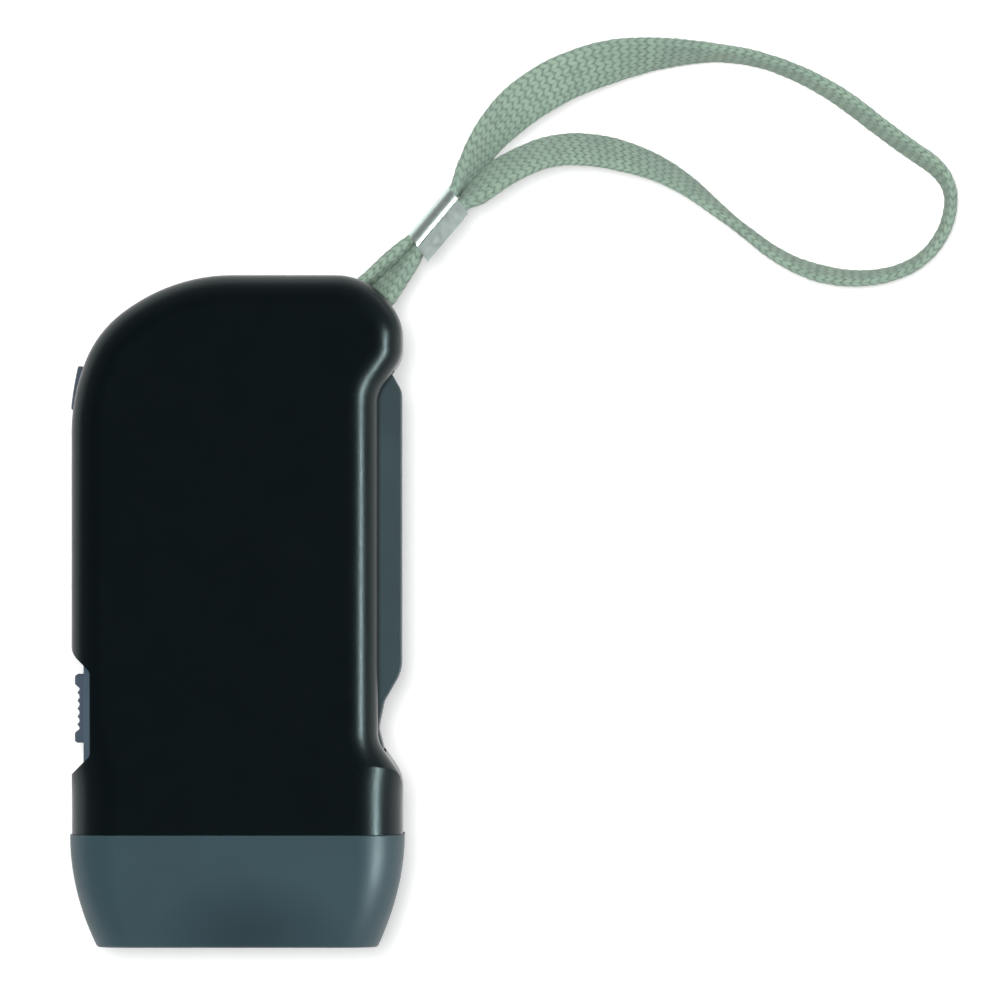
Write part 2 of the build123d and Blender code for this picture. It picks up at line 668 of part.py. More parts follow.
# ---------------------------------------------------------------- lock, power slide and switch
def make_lock():
    """Lock: an outside knob on a bar that slides a nose behind the lever's hook."""
    low, high = mid_z - knob_height / 2, mid_z + knob_height / 2
    inner = left + knob_thickness - 0.05
    face = left + 0.35
    pad = prism(turned_outline([
        (inner, lock_y - knob_length / 2, 0),
        (face, lock_y - knob_length / 2, 0.4),
        (face, lock_y - 0.9, 0.3),
        (left - 0.2, lock_y - 0.1, 0.4),
        (left + 0.5, lock_y + knob_length / 2 - 1.0, 1.5),
        (left + 0.9, lock_y + knob_length / 2, 0.2),
        (inner, lock_y + knob_length / 2, 0),
    ]), low, high)
    for n in range(4):
        rib_y = lock_y - knob_length / 2 + 1.1 + 1.35 * n
        pad += post((face + 0.1, rib_y), 0.45, low, high)
    shank = block(inner - 0.2, left + wall + 0.5, lock_y - shank_length / 2, lock_y + shank_length / 2,
                  lock_z, lock_z + lock_bar_thickness)
    parts["lock_knob"] = pad + shank
    nose_low = lever_tail_y + 0.1
    bar = turned_outline([
        (left + wall + 0.5, lock_y - shank_length / 2, 0),
        (left + wall + 2.6, lock_y - shank_length / 2, 0.8),
        (left + wall + 3.6, lock_y + 0.4, 1.0),
        (second_axle[0] + 8, nose_low + 2.1, 2.0),
        (nose_x, nose_low + 2.1, 0),
        (nose_x, nose_low, 0.3),
        (nose_x + nose_width, nose_low, 0.5),
        (nose_x + nose_width, nose_low + 4.0, 1.0),
        (second_axle[0] + 6, nose_low + 4.0, 2.0),
        (left + wall + 2.2, lock_y + 3.9, 1.5),
        (left + wall + 0.5, lock_y + shank_length / 2, 0),
    ])
    parts["lock_bar"] = prism(bar, lock_z, lock_z + lock_bar_thickness)


def make_power_slide():
    """Power knob on its inlay, the slider that it moves and the switch body behind the wall."""
    low, high = mid_z - knob_height / 2, mid_z + knob_height / 2
    half = power_knob_length / 2
    outer = inlay_x - 1.6
    knob = prism(turned_outline([
        (inlay_x - seat_gap, power_y - half, 0.3),
        (outer, power_y - half, 0.6),
        (outer + 0.3, power_y - half + 2.2, 1.0),
        (outer + 0.7, power_y - half + 2.9, 0),
        (outer + 0.7, power_y + half - 2.9, 0),
        (outer + 0.3, power_y + half - 2.2, 1.0),
        (outer, power_y + half, 0.6),
        (inlay_x - seat_gap, power_y + half, 0.3),
    ]), low, high)
    for n in range(4):
        knob += post((outer + 0.75, power_y - 1.95 + 1.3 * n), 0.45, low, high)
    shank = block(inlay_x - 0.3, wall_step + 0.2, power_y - shank_length / 2, power_y + shank_length / 2,
                  mid_z - shank_height / 2, mid_z + shank_height / 2)
    parts["power_knob"] = knob + shank
    inlay = prism(turned_outline([
        (inlay_x, notch_low - 1.0, 0), (notch_x, notch_low, 1.2),
        (notch_x, notch_high, 1.2), (inlay_x, notch_high + 1.0, 0)]), 3.0, body_depth - 3.0)
    slot_low_y = power_y - shank_length / 2 - power_travel - running_gap
    slot_high_y = power_y + shank_length / 2 + running_gap
    inlay -= block(inlay_x - 1, notch_x + 1, slot_low_y, slot_high_y,
                   mid_z - shank_height / 2 - running_gap, mid_z + shank_height / 2 + running_gap)
    parts["thumb_inlay"] = inlay
    slider_long = shank_length + 1.2
    body = block(wall_step, wall_step + 5.0, power_y - 7.4, power_y + 4.9, mid_z - 4.4, mid_z + 4.4)
    body -= block(wall_step - 1, wall_step + 2.2, power_y - slider_long / 2 - power_travel - running_gap,
                  power_y + slider_long / 2 + running_gap, mid_z - 2.4, mid_z + 2.4)
    parts["switch_body"] = body
    parts["switch_slider"] = block(wall_step + 0.2, wall_step + 2.0, power_y - slider_long / 2,
                                   power_y + slider_long / 2, mid_z - 2.1, mid_z + 2.1)
    pins = [block(wall_step + 5.0, wall_step + 7.2, power_y - 5.6 + 3.2 * n, power_y - 5.2 + 3.2 * n,
                  mid_z - 0.6, mid_z + 0.6) for n in range(3)]
    parts["switch_pins"] = Compound(children=pins)


# ---------------------------------------------------------------- cell, screws, strap
def make_cell():
    """Rechargeable coin cell in a tray on the shell's floor, under a spring strip."""
    tray = post(cell_place, coin_cell_radius + 1.3, wall, wall + 5.0)
    tray -= post(cell_place, coin_cell_radius + 0.1, wall + 1.0, wall + 6.0)
    tray -= block(cell_place[0] - 3, cell_place[0] + 3, cell_place[1] + coin_cell_radius - 2,
                  cell_place[1] + coin_cell_radius + 3, wall + 1.0, wall + 6.0)
    parts["cell_holder"] = tray
    cell_low = wall + 1.0
    cell = post(cell_place, coin_cell_radius, cell_low, cell_low + coin_cell_height)
    rim = cell.faces().sort_by(Axis.Z)[-1].edges()
    parts["coin_cell"] = fillet(rim, 0.5)
    strip_z = cell_low + coin_cell_height
    strip = block(cell_place[0] - coin_cell_radius - 1.2, cell_place[0] + 4, cell_place[1] - 2,
                  cell_place[1] + 2, strip_z, strip_z + 0.4)
    strip -= tube(cell_place, coin_cell_radius + 1.35, coin_cell_radius + 0.05, 0, wall + 5.0)
    parts["cell_spring"] = strip


def make_shell_screws():
    """Four self-tapping screws, driven from the resting face up into the top shell."""
    screws = []
    for place in screw_places:
        head_low = screw_well_depth - screw_head_height
        head = post(place, screw_head_radius, head_low, screw_well_depth)
        head -= Pos(*place, head_low) * Box(0.6, 2.4, 1.2)
        head -= Pos(*place, head_low) * Box(2.4, 0.6, 1.2)
        screws.append(head + post(place, screw_radius, screw_well_depth, mid_z + 7.0))
    parts["shell_screws"] = Compound(children=screws)


along = (cos(radians(strap_bearing)), sin(radians(strap_bearing)))
clip_centre = (strap_post[0] + 19.45 * along[0], strap_post[1] + 19.45 * along[1])

# Strap from the tail post, out through the corner and the clip, round its loop and back again.
strap_route = [
    (16.4, 47.9, 18.0), (25.2, 54.8, 18.0), (34.7, 66.2, 18.0), (39.2, 75.0, 16.6),
    (47.0, 82.0, 12.8), (57.0, 86.4, 8.8), (68.8, 88.2, 5.8), (81.2, 87.6, 4.3),
    (93.0, 82.6, 3.8), (103.6, 74.2, 3.7), (112.4, 68.4, 3.7), (112.0, 60.4, 3.7), (106.8, 54.0, 3.7),
    (97.4, 51.8, 3.7), (87.0, 54.2, 3.8), (78.0, 61.0, 4.4), (68.6, 68.8, 6.4), (59.0, 72.2, 9.6),
    (50.0, 72.8, 13.2), (42.2, 69.6, 16.6), (36.0, 64.7, 18.0), (26.7, 53.6, 18.0), (21.3, 43.8, 18.0),
]


def turn_radii(points):
    """Radius of each arc: 0.45 of the shorter run, over the tangent of half the turn."""
    radii = []
    for before, here, after in zip(points, points[1:], points[2:]):
        arrive, leave = Vector(*here) - Vector(*before), Vector(*after) - Vector(*here)
        half = radians(arrive.get_angle(leave)) / 2
        radii.append(0.45 * min(arrive.length, leave.length) / tan(half))
    return radii


def make_strap():
    """Flat braided strap standing on edge, and the crimped clip that holds its two legs together."""
    radii = turn_radii(strap_route)
    print("strap arcs", [round(radius, 1) for radius in radii])
    path = FilletPolyline(*strap_route, radius=radii)
    print("strap length", round(path.length, 1))
    start = Vector(*strap_route[0])
    heading = Vector(*strap_route[1]) - start
    plane = Plane(origin=start, x_dir=Vector(-heading.Y, heading.X, 0), z_dir=heading)
    section = plane * Rectangle(strap_thickness, strap_width)
    upright = Pos(0, 0, 20) * path.wire()
    strap = sweep(section, path=path.wire(), binormal=upright)
    print("strap volume", round(strap.volume), "of", round(path.length * strap_thickness * strap_width))
    parts["wrist_strap"] = strap
    room = Box(clip_length + 2, clip_width - 2 * clip_wall, strap_width + 0.4)
    clip = Box(clip_length, clip_width, strap_width + 0.4 + 2 * clip_wall) - room
    clip = fillet(clip.edges().filter_by(Axis.X).group_by(SortBy.DISTANCE)[-1], 1.2)
    parts["strap_clip"] = Pos(*clip_centre, mid_z) * Rot(0, 0, strap_bearing) * clip


make_shells()
make_bezel()
make_lamps()
make_lever()
make_return_spring()
make_gears()
make_sector()
make_gearbox()
make_dynamo()
make_lock()
make_power_slide()
make_cell()
make_shell_screws()
make_strap()

for name, shape in parts.items():
    export_step(shape, f"parts/{name}.step")
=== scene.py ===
"""Hand-press dynamo torch with a squeeze lever and a braided wrist strap, lying on its broad side.

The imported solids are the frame. This script gives every one of them its finish, weaves the strap
round the cord's own line and sets the camera where the photograph was taken from.
"""
import bpy
import numpy as np
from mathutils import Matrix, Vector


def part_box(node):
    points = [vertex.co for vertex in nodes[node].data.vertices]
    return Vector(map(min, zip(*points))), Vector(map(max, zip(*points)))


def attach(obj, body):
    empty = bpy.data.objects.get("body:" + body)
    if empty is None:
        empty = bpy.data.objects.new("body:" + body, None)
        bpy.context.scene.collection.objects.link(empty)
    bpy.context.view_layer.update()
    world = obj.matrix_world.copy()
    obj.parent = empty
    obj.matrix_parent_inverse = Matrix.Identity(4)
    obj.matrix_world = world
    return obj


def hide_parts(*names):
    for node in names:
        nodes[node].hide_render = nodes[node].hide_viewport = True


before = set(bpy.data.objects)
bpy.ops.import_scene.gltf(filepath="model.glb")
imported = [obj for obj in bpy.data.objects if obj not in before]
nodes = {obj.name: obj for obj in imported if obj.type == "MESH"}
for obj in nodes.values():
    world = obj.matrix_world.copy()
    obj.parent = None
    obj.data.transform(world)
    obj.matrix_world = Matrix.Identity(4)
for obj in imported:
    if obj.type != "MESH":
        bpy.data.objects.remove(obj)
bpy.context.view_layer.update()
scene = bpy.context.scene
MM = 0.001

# ---------------------------------------------------------------- camera
# The photograph looks straight down on the torch through a long lens, with the tail at the top.
# Its frame is 157 mm wide at half the torch's depth.
picture_width = 156.9 * MM
picture_centre = (41.06 * MM, 17.87 * MM)
half_depth = 18.0 * MM
camera_distance = 2.5
lens = bpy.data.cameras.new("overhead")
lens.sensor_fit = "HORIZONTAL"
lens.lens = lens.sensor_width * camera_distance / picture_width
camera = bpy.data.objects.new("overhead", lens)
camera.location = (*picture_centre, half_depth + camera_distance)
scene.collection.objects.link(camera)
scene.camera = camera
scene.view_settings.view_transform = "Standard"


# ---------------------------------------------------------------- wrist strap
# A flat tube of braided cotton, 7 mm wide, with the two ends looped round the tail post. It leaves
# the corner on edge, lies over on the outer leg, comes down to the floor and runs back on edge.
strap_route = np.array([
    (16.0, 48.5, 18.0), (24.7, 55.3, 18.0), (34.7, 66.2, 18.0), (39.2, 75.0, 16.6),
    (47.0, 82.0, 12.8), (57.0, 86.4, 8.8), (68.8, 88.2, 5.8), (81.2, 87.6, 4.3),
    (93.0, 82.6, 3.8), (103.6, 74.2, 3.7), (112.4, 68.4, 3.7), (112.0, 60.4, 3.7),
    (106.8, 54.0, 3.7), (97.4, 51.8, 3.7), (87.0, 54.2, 3.8), (78.0, 61.0, 4.4),
    (68.6, 68.8, 6.4), (59.0, 72.2, 9.6), (50.0, 72.8, 13.2), (42.2, 69.6, 16.6),
    (36.0, 64.7, 18.0), (25.6, 54.1, 18.0), (19.5, 44.9, 18.0),
]) * MM
plait_columns = 24          # all round the tube, paired up in chevrons
column_points = 5
plait_pitch = 1.42 * MM
plait_depth = 0.2 * MM
plait_slant = 0.5           # in pitches, across one column
side_fall = 0.6             # share of the relief that is lost at a column's sides
relief_least, relief_spread = 0.75, 0.35
uneven_row, uneven_column, uneven_gain = 12.9, 78.2, 43.7
flat_power, edge_power = 0.62, 0.85
section_steps = 4001


def line_points(route):
    """Points along the quadratic NURBS spline that has the route as its control points."""
    data = bpy.data.curves.new("strap_line", "CURVE")
    data.dimensions = "3D"
    data.resolution_u = 40
    spline = data.splines.new("NURBS")
    spline.points.add(len(route) - 1)
    spline.points.foreach_set("co", np.c_[route, np.ones(len(route))].ravel())
    spline.order_u = 3
    spline.use_endpoint_u = True
    carrier = bpy.data.objects.new("strap_line", data)
    scene.collection.objects.link(carrier)
    bpy.context.view_layer.update()
    mesh = bpy.data.meshes.new_from_object(carrier)
    points = np.empty(len(mesh.vertices) * 3)
    mesh.vertices.foreach_get("co", points)
    bpy.data.objects.remove(carrier)
    return points.reshape(-1, 3)


def evenly(points, count):
    """The same line with count points at equal steps of its length, and that length at each."""
    run = np.r_[0, np.cumsum(np.linalg.norm(np.diff(points, axis=0), axis=1))]
    at = np.linspace(0, run[-1], count)
    return np.stack([np.interp(at, run, points[:, axis]) for axis in range(3)], axis=1), at


def skin(name, rows, caps=True, uv=None, closed_along=False):
    """Mesh of a grid of points, rows along and round, closed round.

    Its two ends are fans, or for caps="ladder" rungs from the first half of the ring to the second.
    """
    along, around = rows.shape[:2]
    points = rows.reshape(-1, 3)
    bands = along if closed_along else along - 1
    row, column = np.meshgrid(np.arange(bands), np.arange(around), indexing="ij")
    after, beside = (row + 1) % along, (column + 1) % around
    quads = np.stack([row * around + column, after * around + column,
                      after * around + beside, row * around + beside], axis=-1).reshape(-1, 4)
    faces = quads.tolist()
    if caps == "ladder":
        rung = np.arange(around // 2 - 1)
        end = np.stack([rung, rung + 1, around - 2 - rung, around - 1 - rung], axis=1)
        faces += end.tolist() + (end[:, ::-1] + (along - 1) * around).tolist()
    elif caps:
        first, last = len(points), len(points) + 1
        points = np.r_[points, rows[0].mean(0)[None], rows[-1].mean(0)[None]]
        ring = np.arange(around)
        beyond = (ring + 1) % around
        faces += np.stack([ring, beyond, np.full(around, first)], axis=1).tolist()
        base = (along - 1) * around
        faces += np.stack([base + beyond, base + ring, np.full(around, last)], axis=1).tolist()
    mesh = bpy.data.meshes.new(name)
    mesh.from_pydata(points, [], faces)
    mesh.polygons.foreach_set("use_smooth", np.ones(len(faces), bool))
    if uv is not None:
        corners = np.concatenate([np.asarray(face) for face in faces])
        flat = np.r_[uv.reshape(-1, 2), np.zeros((len(points) - along * around, 2))]
        layer = mesh.uv_layers.new(name="run")
        layer.data.foreach_set("uv", flat[corners].ravel())
    piece = bpy.data.objects.new(name, mesh)
    scene.collection.objects.link(piece)
    return piece


def braid(points, at, lie, width, thickness):
    """Flat tube round the line: a superellipse section laid over by lie, raised by slanting plaits.

    The section is |cos a| and |sin a|, each to its power and with its sign, walked at even steps of
    its own length. A plait's relief is the root of |sin| of half a turn per pitch along the run,
    shifted by its place across its column and falling towards the column's sides. The next column
    leans the other way, so that columns pair up in chevrons. A sine of the plait's row and column
    numbers makes the plaits uneven.
    """
    ahead = np.gradient(points, axis=0)
    ahead /= np.linalg.norm(ahead, axis=1)[:, None]
    side = np.stack([-ahead[:, 1], ahead[:, 0], 0 * ahead[:, 0]], axis=1)
    side /= np.linalg.norm(side, axis=1)[:, None]
    rise = np.cross(ahead, side)
    flat_way = side * np.cos(lie)[:, None] - rise * np.sin(lie)[:, None]
    edge_way = rise * np.cos(lie)[:, None] + side * np.sin(lie)[:, None]
    turn = np.linspace(0, 2 * np.pi, section_steps)
    bulge = np.sign(np.cos(turn)) * np.abs(np.cos(turn)) ** flat_power
    height = np.sign(np.sin(turn)) * np.abs(np.sin(turn)) ** edge_power
    steps = np.hypot(np.diff(bulge) * thickness.mean(), np.diff(height) * width.mean())
    walked = np.r_[0, np.cumsum(steps)]
    around = column_points * plait_columns
    even = np.interp(np.arange(around) / around * walked[-1], walked, turn)
    bulge, height = np.interp(even, turn, bulge), np.interp(even, turn, height)
    out_x = -(np.roll(height, 1) - np.roll(height, -1)) * width.mean()
    out_y = (np.roll(bulge, 1) - np.roll(bulge, -1)) * thickness.mean()
    out_x, out_y = out_x / np.hypot(out_x, out_y), out_y / np.hypot(out_x, out_y)
    column = (np.arange(around) + 0.5) / column_points
    lean = np.where(np.floor(column) % 2 == 0, 1.0, -1.0)
    within = column - np.floor(column) - 0.5
    phase = at[:, None] / plait_pitch + (lean * within * plait_slant)[None, :]
    uneven = uneven_gain * np.sin(uneven_row * np.floor(phase)
                                  + uneven_column * np.floor(column)[None, :])
    uneven = uneven - np.floor(uneven)
    flank = 1 - side_fall * (2 * np.abs(within)) ** 4
    relief = np.sqrt(np.abs(np.sin(np.pi * phase))) * flank[None, :]
    relief = relief * (relief_least + relief_spread * uneven)
    out = plait_depth * (relief - 0.5)
    across = bulge[None, :] * (thickness[:, None] / 2 - plait_depth / 2) + out_x[None, :] * out
    upward = height[None, :] * (width[:, None] / 2 - plait_depth / 2) + out_y[None, :] * out
    rows = (points[:, None, :] + flat_way[:, None, :] * across[..., None]
            + edge_way[:, None, :] * upward[..., None])
    uv = np.stack(np.broadcast_arrays(at[:, None] / plait_pitch, column[None, :]), axis=-1)
    return rows, uv, relief


# Along the strap, in mm: how far its flat side lies over from standing on edge, in degrees, its
# width and its thickness. It is pinched in the clip and bulges on each side of it.
shape_along = np.array([
    (0, 9, 6.2, 1.8), (6.0, 9, 6.6, 2.0), (10.0, 11, 6.6, 2.4), (13.4, 6, 6.6, 2.3),
    (14.8, 0, 6.6, 1.95), (24.8, 0, 6.8, 1.95), (26.4, 12, 7.0, 2.4), (28.5, 26, 7.0, 2.4),
    (35.4, 46, 7.2, 2.1), (41.4, 66, 7.4, 2.0), (48.7, 80, 7.5, 2.0),
    (58.1, 70, 7.4, 2.0), (67.6, 38, 7.2, 2.0), (77.0, 14, 7.0, 2.0), (85.0, 9, 7.0, 2.0),
    (99.5, 14, 7.0, 2.1), (115.7, 14, 7.0, 2.0), (122.4, 3, 7.0, 2.0), (131.2, 4, 7.0, 2.0),
 (141.4, 11, 7.0, 2.0), (149.3, 16, 7.0, 2.0), (158.0, 9, 7.0, 2.0),
    (165.6, 2, 7.0, 2.0), (169.1, 10, 7.0, 2.0), (176.8, 24, 7.0, 2.0), (187.6, 42, 7.0, 2.0),
    (194.1, 44, 7.0, 2.0), (202.3, 40, 7.0, 2.0), (210.0, 38, 7.0, 2.4), (214.2, 24, 6.8, 3.3),
    (216.2, 0, 6.8, 2.3), (226.0, 0, 6.6, 2.1), (227.6, 12, 6.6, 2.9), (230.8, 22, 6.6, 3.0),
    (234.5, 32, 6.6, 2.9), (240.9, 30, 6.2, 2.4),
])
strap_rings = 820
strap_points, strap_run = evenly(line_points(strap_route), strap_rings)
rounding_rings = 5


def smoothed(column):
    """One column of the table at each point of the strap, rounded off over about 2 mm."""
    values = np.interp(strap_run / strap_run[-1], shape_along[:, 0] / shape_along[-1, 0],
                       shape_along[:, column])
    kernel = np.hanning(2 * rounding_rings + 1)
    padded = np.pad(values, rounding_rings, mode="edge")
    return np.convolve(padded, kernel / kernel.sum(), mode="valid")


strap_rows, strap_uv, strap_relief = braid(strap_points, strap_run, np.radians(smoothed(1)),
                                           smoothed(2) * MM, smoothed(3) * MM)
lowest_thread = 0.05 * MM
strap_rows[..., 2] = np.maximum(strap_rows[..., 2], lowest_thread)
strap = skin("strap_braid", strap_rows[:, ::-1], uv=strap_uv[:, ::-1])
cap_relief = 0.3
plaits = strap.data.attributes.new("plait", "FLOAT", "POINT")
plaits.data.foreach_set("value", np.r_[strap_relief[:, ::-1].ravel(), cap_relief, cap_relief])


def linear(red, green, blue):
    """Scene colour of an 8-bit sRGB colour."""
    share = np.array([red, green, blue]) / 255
    return (*np.where(share <= 0.04045, share / 12.92, ((share + 0.055) / 1.055) ** 2.4), 1.0)


def new_finish(name, **sockets):
    """Principled material with plain socket values, keys written with _ for each space."""
    material = bpy.data.materials.new(name)
    material.use_nodes = True
    shader = material.node_tree.nodes["Principled BSDF"]
    for key, value in sockets.items():
        shader.inputs[key.replace("_", " ")].default_value = value
    return material, material.node_tree, shader


def put(tree, kind, settings=(), **sockets):
    """New node of a kind with its settings and socket values, linked where a value is a socket."""
    node = tree.nodes.new("ShaderNode" + kind)
    for key, value in dict(settings).items():
        setattr(node, key, value)
    for key, value in sockets.items():
        place = node.inputs[int(key[1:])] if key[0] == "_" else node.inputs[key.replace("_", " ")]
        if isinstance(value, bpy.types.NodeSocket):
            tree.links.new(value, place)
        else:
            place.default_value = value
    return node


def blend_of(tree, share, first, second):
    """Colour between two colours by a share."""
    mix = put(tree, "Mix", {"data_type": "RGBA"}, _0=share, _6=first, _7=second)
    return mix.outputs[2]


def spread(tree, value, low, high, to_low, to_high):
    """Value carried from one range to another, clamped."""
    return put(tree, "MapRange", _0=value, _1=low, _2=high, _3=to_low, _4=to_high).outputs[0]


def noise(tree, place, scale, detail=3.0, stretch=None):
    """Noise over object coordinates, in features per metre."""
    if stretch:
        place = put(tree, "Mapping", Vector=place, Scale=stretch).outputs[0]
    return put(tree, "TexNoise", Vector=place, Scale=scale, Detail=detail).outputs[0]


strap_finish, tree, shader = new_finish("sage_cotton_braid", Roughness=0.86, Specular_IOR_Level=0.2,
                                        Sheen_Weight=0.25, Sheen_Roughness=0.5)
relief_share = put(tree, "Attribute", {"attribute_name": "plait"}).outputs["Fac"]
place = put(tree, "TexCoord").outputs["Object"]
run = put(tree, "UVMap", {"uv_map": "run"}).outputs[0]
fibres = noise(tree, run, 9.0, 4.0, (0.7, 6.0, 1.0))
patches = noise(tree, place, 120.0)
# Painted shade: the braid is darker down in the grooves between plaits and paler on their crests.
groove_painted_shade = spread(tree, relief_share, 0.05, 0.8, 0.0, 1.0)
tone = blend_of(tree, groove_painted_shade, linear(63, 88, 79), linear(170, 198, 180))
tone = blend_of(tree, spread(tree, fibres, 0.4, 0.75, 0.0, 0.4), tone, linear(202, 216, 184))
tone = blend_of(tree, spread(tree, patches, 0.35, 0.7, 0.0, 0.3), tone, linear(136, 163, 151))
tree.links.new(tone, shader.inputs["Base Color"])
bump = put(tree, "Bump", Strength=0.6, Distance=0.00008, Height=fibres)
tree.links.new(bump.outputs[0], shader.inputs["Normal"])
strap.data.materials.append(strap_finish)
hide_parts("wrist_strap")
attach(strap, "root")


# ---------------------------------------------------------------- strap clip
# A strip of satin nickel-plated steel, folded round the two legs of the strap and crimped shut: one
# edge is rolled over and the other lies flat beside it, with a narrow seam between them.
def dress(finish, *names):
    """Gives these solids of the frame one finish."""
    for name in names:
        piece = nodes[name]
        piece.data.materials.clear()
        piece.data.materials.append(finish)


def metal(name, colour, roughness, grain, streak=(1.0, 1.0, 1.0), depth=0.00002, scale=1500.0,
          edge=0.2 * MM):
    """Plated or turned metal: streaks along one way that change its roughness and its relief."""
    finish, tree, shader = new_finish(name, Metallic=1.0)
    place = put(tree, "TexCoord").outputs["Object"]
    streaks = noise(tree, place, scale, 3.0, streak)
    clouds = noise(tree, place, 160.0)
    base = np.array(linear(*colour))
    tree.links.new(blend_of(tree, clouds, tuple(base * 0.88), tuple(np.minimum(base * 1.06, 1))),
                   shader.inputs["Base Color"])
    tree.links.new(spread(tree, streaks, 0.3, 0.7, roughness - grain, roughness + grain),
                   shader.inputs["Roughness"])
    edge = put(tree, "Bevel", {"samples": 6}, Radius=edge)
    bump = put(tree, "Bump", Strength=0.5, Distance=depth, Height=streaks, Normal=edge.outputs[0])
    tree.links.new(bump.outputs[0], shader.inputs["Normal"])
    return finish


satin_nickel = metal("satin_nickel", (228, 244, 239), 0.47, 0.05, depth=0.00001, scale=900.0,
                     edge=0.01 * MM)
clip_centre = np.array((31.352, 60.699, 18.0)) * MM
clip_bearing = np.radians(50.0)
clip_length = 9.8 * MM
clip_wall = 0.42 * MM
clip_lean = 0.24            # of its cut ends, along the clip for each length across
# The strip seen from its end: up the left side, over the roll, down the seam, over the plate, down
# the right side and back underneath. Each point is across and up, in mm.
clip_outside = np.array([
    (-2.46, 1.5), (-2.5, 2.4), (-2.44, 3.0), (-2.26, 3.55), (-1.95, 3.98), (-1.5, 4.22),
    (-0.95, 4.3), (-0.48, 4.28), (-0.1, 4.0), (-0.07, 3.9), (0.0, 4.1), (1.2, 4.08), (2.66, 4.02),
    (2.6, 3.1), (2.6, 0.0), (2.6, -3.1), (2.5, -3.75), (2.1, -4.15), (1.5, -4.28), (0.0, -4.3),
    (-1.5, -4.28), (-2.05, -4.15), (-2.4, -3.75), (-2.5, -3.1), (-2.48, 0.0),
]) * MM
roll_faces = 7              # from the first point


def bent_strip(outside, wall_thickness, length):
    """Closed section swept along a straight axis, out on its outside and back on its inside.

    The inside is the outside drawn in by the wall along each corner's normal, which is the turned
    difference of its neighbours. Both ends lean by clip_lean.
    """
    beside = np.roll(outside, -1, axis=0) - np.roll(outside, 1, axis=0)
    normal = np.stack([-beside[:, 1], beside[:, 0]], axis=1)
    normal /= np.linalg.norm(normal, axis=1)[:, None]
    inside = outside - normal * wall_thickness
    steps = np.array([-0.5, -0.49, -0.25, 0.0, 0.25, 0.49, 0.5]) * length
    section = np.concatenate([np.repeat(outside[None], len(steps), 0),
                              np.repeat(inside[None], len(steps), 0)])
    along = np.concatenate([steps, steps[::-1]])[:, None] - clip_lean * section[..., 0]
    return section, along


section, along = bent_strip(clip_outside, clip_wall, clip_length)
axis = np.array((np.cos(clip_bearing), np.sin(clip_bearing), 0.0))
across = np.array((np.sin(clip_bearing), -np.cos(clip_bearing), 0.0))
clip_rows = (clip_centre + along[..., None] * axis + section[..., :1] * across
             + section[..., 1:] * np.array((0.0, 0.0, 1.0)))
clip = skin("strap_clip_bent", clip_rows[:, ::-1], caps=False, closed_along=True)
# Only the roll is shaded smooth, and not on the two cut ends.
corners, rings = len(clip_outside), len(clip_rows)
face = np.arange(len(clip.data.polygons))
beside, ring = face % corners, face // corners % (rings // 2)
on_roll = (beside >= corners - 1 - roll_faces) & (beside < corners - 1) & (ring < rings // 2 - 1)
clip.data.polygons.foreach_set("use_smooth", on_roll)
clip.data.materials.append(satin_nickel)
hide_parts("strap_clip")
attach(clip, "root")


# ---------------------------------------------------------------- floor and light
# White sweep under the torch, a soft light high overhead and a long strip on the right, which
# draws the bright line down the rounded edge beside the lever. The room is darkest overhead.
floor_reach = 6.0
floor_corners = np.array([(-1, -1, 0), (1, -1, 0), (1, 1, 0), (-1, 1, 0)]) * floor_reach
floor_mesh = bpy.data.meshes.new("floor")
floor_mesh.from_pydata(floor_corners, [], [(0, 1, 2, 3)])
floor = bpy.data.objects.new("floor", floor_mesh)
floor.location.z = -0.2 * MM
scene.collection.objects.link(floor)
floor_finish, tree, shader = new_finish("white_sweep", Roughness=1.0, Specular_IOR_Level=0.0,
                                        Base_Color=(0.85, 0.85, 0.85, 1.0))
rays = put(tree, "LightPath").outputs
seen = put(tree, "Math", {"operation": "MAXIMUM"},
           _0=rays["Is Camera Ray"], _1=rays["Is Glossy Ray"])
seen = put(tree, "Math", {"operation": "MAXIMUM"},
           _0=seen.outputs[0], _1=rays["Is Transmission Ray"])
floor_glow = 0.42
glow = put(tree, "Math", {"operation": "MULTIPLY"}, _0=seen.outputs[0], _1=floor_glow)
tree.links.new(glow.outputs[0], shader.inputs["Emission Strength"])
shader.inputs["Emission Color"].default_value = (1, 1, 1, 1)
floor_mesh.materials.append(floor_finish)

world = bpy.data.worlds.new("studio")
scene.world = world
world.use_nodes = True
tree = world.node_tree
room = tree.nodes["Background"]
room.inputs["Color"].default_value = (1, 1, 1, 1)
rays = put(tree, "LightPath").outputs
aim = put(tree, "SeparateXYZ", Vector=put(tree, "TexCoord").outputs["Generated"])
wall = put(tree, "Math", {"operation": "MULTIPLY"},
           _0=spread(tree, aim.outputs["Z"], 0.2, 0.9, 0.58, 0.16),
           _1=spread(tree, aim.outputs["X"], -1.0, 1.0, 0.5, 1.0)).outputs[0]
strength = put(tree, "Mix", _0=rays["Is Camera Ray"], _2=wall, _3=1.0)
tree.links.new(strength.outputs[0], room.inputs["Strength"])


def softbox(name, place, size, power, glossy=True, diffuse=True):
    """Area light at a place, aimed at the torch."""
    data = bpy.data.lights.new(name, "AREA")
    data.shape = "RECTANGLE"
    data.size, data.size_y = size
    data.energy = power
    lamp = bpy.data.objects.new(name, data)
    lamp.location = place
    away = np.array(place) / np.linalg.norm(place)
    lamp.rotation_euler = (0, np.arccos(away[2]), np.arctan2(away[1], away[0]))
    lamp.visible_glossy = glossy
    lamp.visible_diffuse = diffuse
    scene.collection.objects.link(lamp)


softbox("overhead_key", (-0.15, 0.2, 4.0), (0.66, 0.66), 114.0, glossy=False)
softbox("strip_right", (1.1, -0.3, 0.95), (0.13, 0.9), 26.0, diffuse=False)


